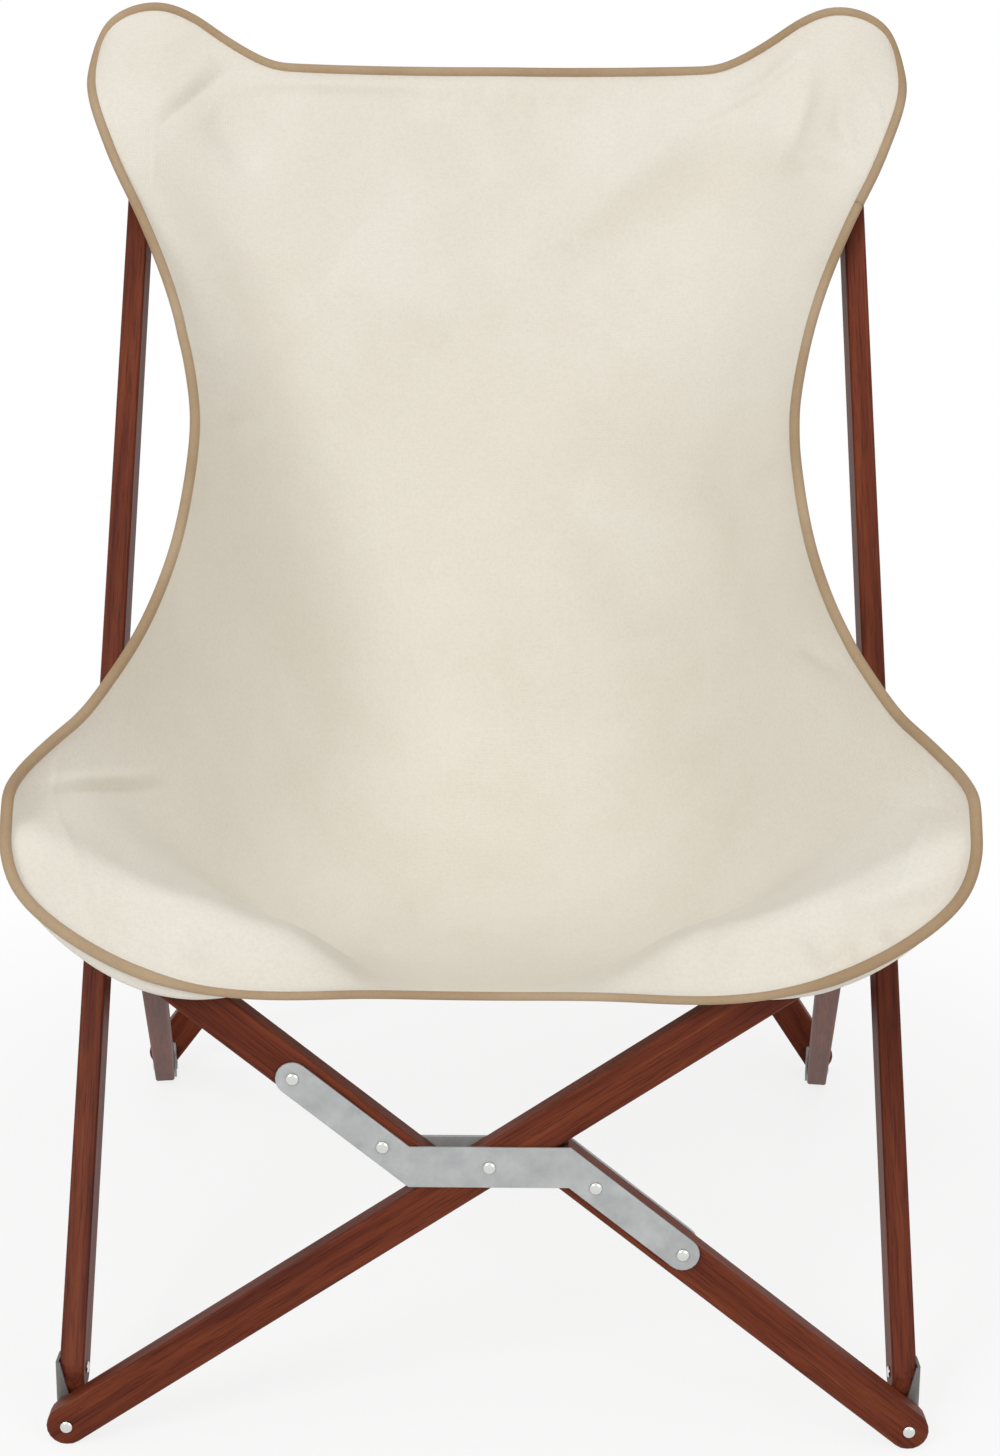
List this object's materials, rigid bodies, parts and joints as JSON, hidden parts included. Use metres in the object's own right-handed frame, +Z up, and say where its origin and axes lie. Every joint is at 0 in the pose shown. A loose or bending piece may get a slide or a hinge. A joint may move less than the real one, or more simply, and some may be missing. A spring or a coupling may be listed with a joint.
{
  "type": "folding sling chair",
  "caption": "Folding lounge chair: crossed wooden laths riveted into a collapsible frame, with a canvas sling hung by corner pockets from the front lath tips and rear posts",
  "frame": {"origin": "on the floor, in the middle of the chair's width and depth", "axes": "X to the chair's right as seen from the front, Y from the front edge to the back, Z up"},
  "size_m": [0.69, 0.6848, 0.9568],
  "materials": {
    "stained_wood": "satin",
    "zinc_plate": "satin",
    "polished_rivet": "polished",
    "canvas": "matte",
    "piping": "matte"
  },
  "bodies": {
    "post_left": {"post_left": "stained_wood", "post_foot_rivet_left": "polished_rivet", "post_top_rivet_left": "polished_rivet", "sling": "canvas", "sling_piping": "piping", "wing_pocket_left": "canvas", "wing_pocket_right": "canvas", "ear_pocket_left": "canvas", "ear_pocket_right": "canvas"},
    "front_foot_bracket_left": {"front_foot_bracket_left": "zinc_plate"},
    "front_through": {"front_through_lath": "stained_wood", "front_foot_rivet_left": "polished_rivet", "seat_rivet_right": "polished_rivet"},
    "front_split": {"front_split_lath_upper": "stained_wood", "front_split_lath_lower": "stained_wood", "front_scissor_plate_outer": "zinc_plate", "front_scissor_plate_inner": "zinc_plate", "front_rivet_upper_far": "polished_rivet", "front_rivet_upper_near": "polished_rivet", "front_rivet_pivot": "polished_rivet", "front_rivet_lower_near": "polished_rivet", "front_rivet_lower_far": "polished_rivet", "front_foot_rivet_right": "polished_rivet", "seat_rivet_left": "polished_rivet"},
    "front_foot_bracket_right": {"front_foot_bracket_right": "zinc_plate"},
    "post_right": {"post_right": "stained_wood", "post_foot_rivet_right": "polished_rivet", "post_top_rivet_right": "polished_rivet"},
    "seat_bracket_right": {"seat_bracket_right": "zinc_plate"},
    "side_right": {"side_lath_right": "stained_wood", "side_top_rivet_right": "polished_rivet", "side_foot_rivet_right": "polished_rivet"},
    "seat_bracket_left": {"seat_bracket_left": "zinc_plate"},
    "top_bracket_left": {"top_bracket_left": "zinc_plate"},
    "rear_split": {"rear_split_lath_upper": "stained_wood", "rear_split_lath_lower": "stained_wood", "rear_scissor_plate_outer": "zinc_plate", "rear_scissor_plate_inner": "zinc_plate", "rear_rivet_upper_far": "polished_rivet", "rear_rivet_upper_near": "polished_rivet", "rear_rivet_pivot": "polished_rivet", "rear_rivet_lower_near": "polished_rivet", "rear_rivet_lower_far": "polished_rivet", "top_rivet_left": "polished_rivet", "rear_foot_rivet_right": "polished_rivet"},
    "rear_through": {"rear_through_lath": "stained_wood", "rear_foot_rivet_left": "polished_rivet", "top_rivet_right": "polished_rivet"},
    "rear_foot_bracket_left": {"rear_foot_bracket_left": "zinc_plate"},
    "side_left": {"side_lath_left": "stained_wood", "side_top_rivet_left": "polished_rivet", "side_foot_rivet_left": "polished_rivet"},
    "rear_foot_bracket_right": {"rear_foot_bracket_right": "zinc_plate"},
    "top_bracket_right": {"top_bracket_right": "zinc_plate"}
  },
  "joints": [
    {"name": "front_scissor", "type": "hinge", "parent": "front_through", "child": "front_split", "pos_m": [0, -0.31709, 0.20844], "axis": [0, 0.9973, -0.0732], "range_deg": [0, 45], "deforming": ["sling", "sling_piping", "wing_pocket_left", "wing_pocket_right", "ear_pocket_left", "ear_pocket_right"]},
    {"name": "front_foot_swing_left", "type": "hinge", "parent": "post_left", "child": "front_foot_bracket_left", "pos_m": [-0.29215, -0.3042, 0.0384], "axis": [-1, 0, 0], "range_deg": [-0.5, 17.57]},
    {"name": "front_through_turn", "type": "hinge", "parent": "front_foot_bracket_left", "child": "front_through", "pos_m": [-0.292, -0.3303, 0.01288], "axis": [0, -0.9973, 0.0732], "range_deg": [-0.5, 22.15]},
    {"name": "front_foot_turn_right", "type": "hinge", "parent": "front_split", "child": "front_foot_bracket_right", "pos_m": [0.292, -0.3303, 0.01288], "axis": [0, -0.9973, 0.0732], "range_deg": [-0.5, 17.15]},
    {"name": "post_right_swing", "type": "hinge", "parent": "front_foot_bracket_right", "child": "post_right", "pos_m": [0.29215, -0.3042, 0.0384], "axis": [1, 0, 0], "range_deg": [-0.5, 17.46]},
    {"name": "seat_turn_right", "type": "hinge", "parent": "front_through", "child": "seat_bracket_right", "pos_m": [0.2316, -0.30489, 0.35891], "axis": [0, 0.9973, -0.0732], "range_deg": [-0.5, 8.91]},
    {"name": "side_right_swing", "type": "hinge", "parent": "seat_bracket_right", "child": "side_right", "pos_m": [0.23046, -0.27778, 0.36246], "axis": [-0.991, 0.1339, 0], "range_deg": [-0.5, 11.79]},
    {"name": "seat_turn_left", "type": "hinge", "parent": "front_split", "child": "seat_bracket_left", "pos_m": [-0.2316, -0.30489, 0.35891], "axis": [0, -0.9973, 0.0732], "range_deg": [-0.5, 23.81]},
    {"name": "top_swing_left", "type": "hinge", "parent": "post_left", "child": "top_bracket_left", "pos_m": [-0.28985, 0.24262, 0.815], "axis": [-1, 0, 0], "range_deg": [-0.5, 4.46]},
    {"name": "rear_split_turn", "type": "hinge", "parent": "top_bracket_left", "child": "rear_split", "pos_m": [-0.2915, 0.279, 0.81473], "axis": [0, 0.9996, -0.027], "range_deg": [-0.5, 6.42]},
    {"name": "rear_scissor", "type": "hinge", "parent": "rear_split", "child": "rear_through", "pos_m": [0, 0.26957, 0.42356], "axis": [0, -0.9996, 0.027], "range_deg": [-0.5, 11.26]},
    {"name": "rear_foot_turn_left", "type": "hinge", "parent": "rear_through", "child": "rear_foot_bracket_left", "pos_m": [-0.303, 0.25742, 0.01702], "axis": [0, 0.9996, -0.027], "range_deg": [-0.5, 7.17]},
    {"name": "side_left_swing", "type": "hinge", "parent": "rear_foot_bracket_left", "child": "side_left", "pos_m": [-0.29936, 0.23226, 0.013], "axis": [-0.991, -0.1339, 0], "range_deg": [-0.5, 24.27]},
    {"name": "rear_foot_turn_right", "type": "hinge", "parent": "rear_split", "child": "rear_foot_bracket_right", "pos_m": [0.303, 0.25742, 0.01702], "axis": [0, -0.9996, 0.027], "range_deg": [-0.5, 20.75]},
    {"name": "top_swing_right", "type": "hinge", "parent": "post_right", "child": "top_bracket_right", "pos_m": [0.28985, 0.24262, 0.815], "axis": [-1, 0, 0], "range_deg": [-0.5, 2.03]}
  ],
  "couplings": [
    {"joint": "front_foot_swing_left", "follows": "front_scissor", "ratio": 0.37933},
    {"joint": "front_through_turn", "follows": "front_scissor", "ratio": 0.48107},
    {"joint": "front_foot_turn_right", "follows": "front_scissor", "ratio": 0.37001},
    {"joint": "post_right_swing", "follows": "front_scissor", "ratio": 0.37688},
    {"joint": "seat_turn_right", "follows": "front_scissor", "ratio": 0.18699},
    {"joint": "side_right_swing", "follows": "front_scissor", "ratio": 0.25087},
    {"joint": "seat_turn_left", "follows": "front_scissor", "ratio": 0.51797},
    {"joint": "top_swing_left", "follows": "front_scissor", "ratio": 0.088033},
    {"joint": "rear_split_turn", "follows": "front_scissor", "ratio": 0.13165},
    {"joint": "rear_scissor", "follows": "front_scissor", "ratio": 0.23905},
    {"joint": "rear_foot_turn_left", "follows": "front_scissor", "ratio": 0.14813},
    {"joint": "side_left_swing", "follows": "front_scissor", "ratio": 0.52827},
    {"joint": "rear_foot_turn_right", "follows": "front_scissor", "ratio": 0.45012},
    {"joint": "top_swing_right", "follows": "front_scissor", "ratio": 0.03394}
  ]
}
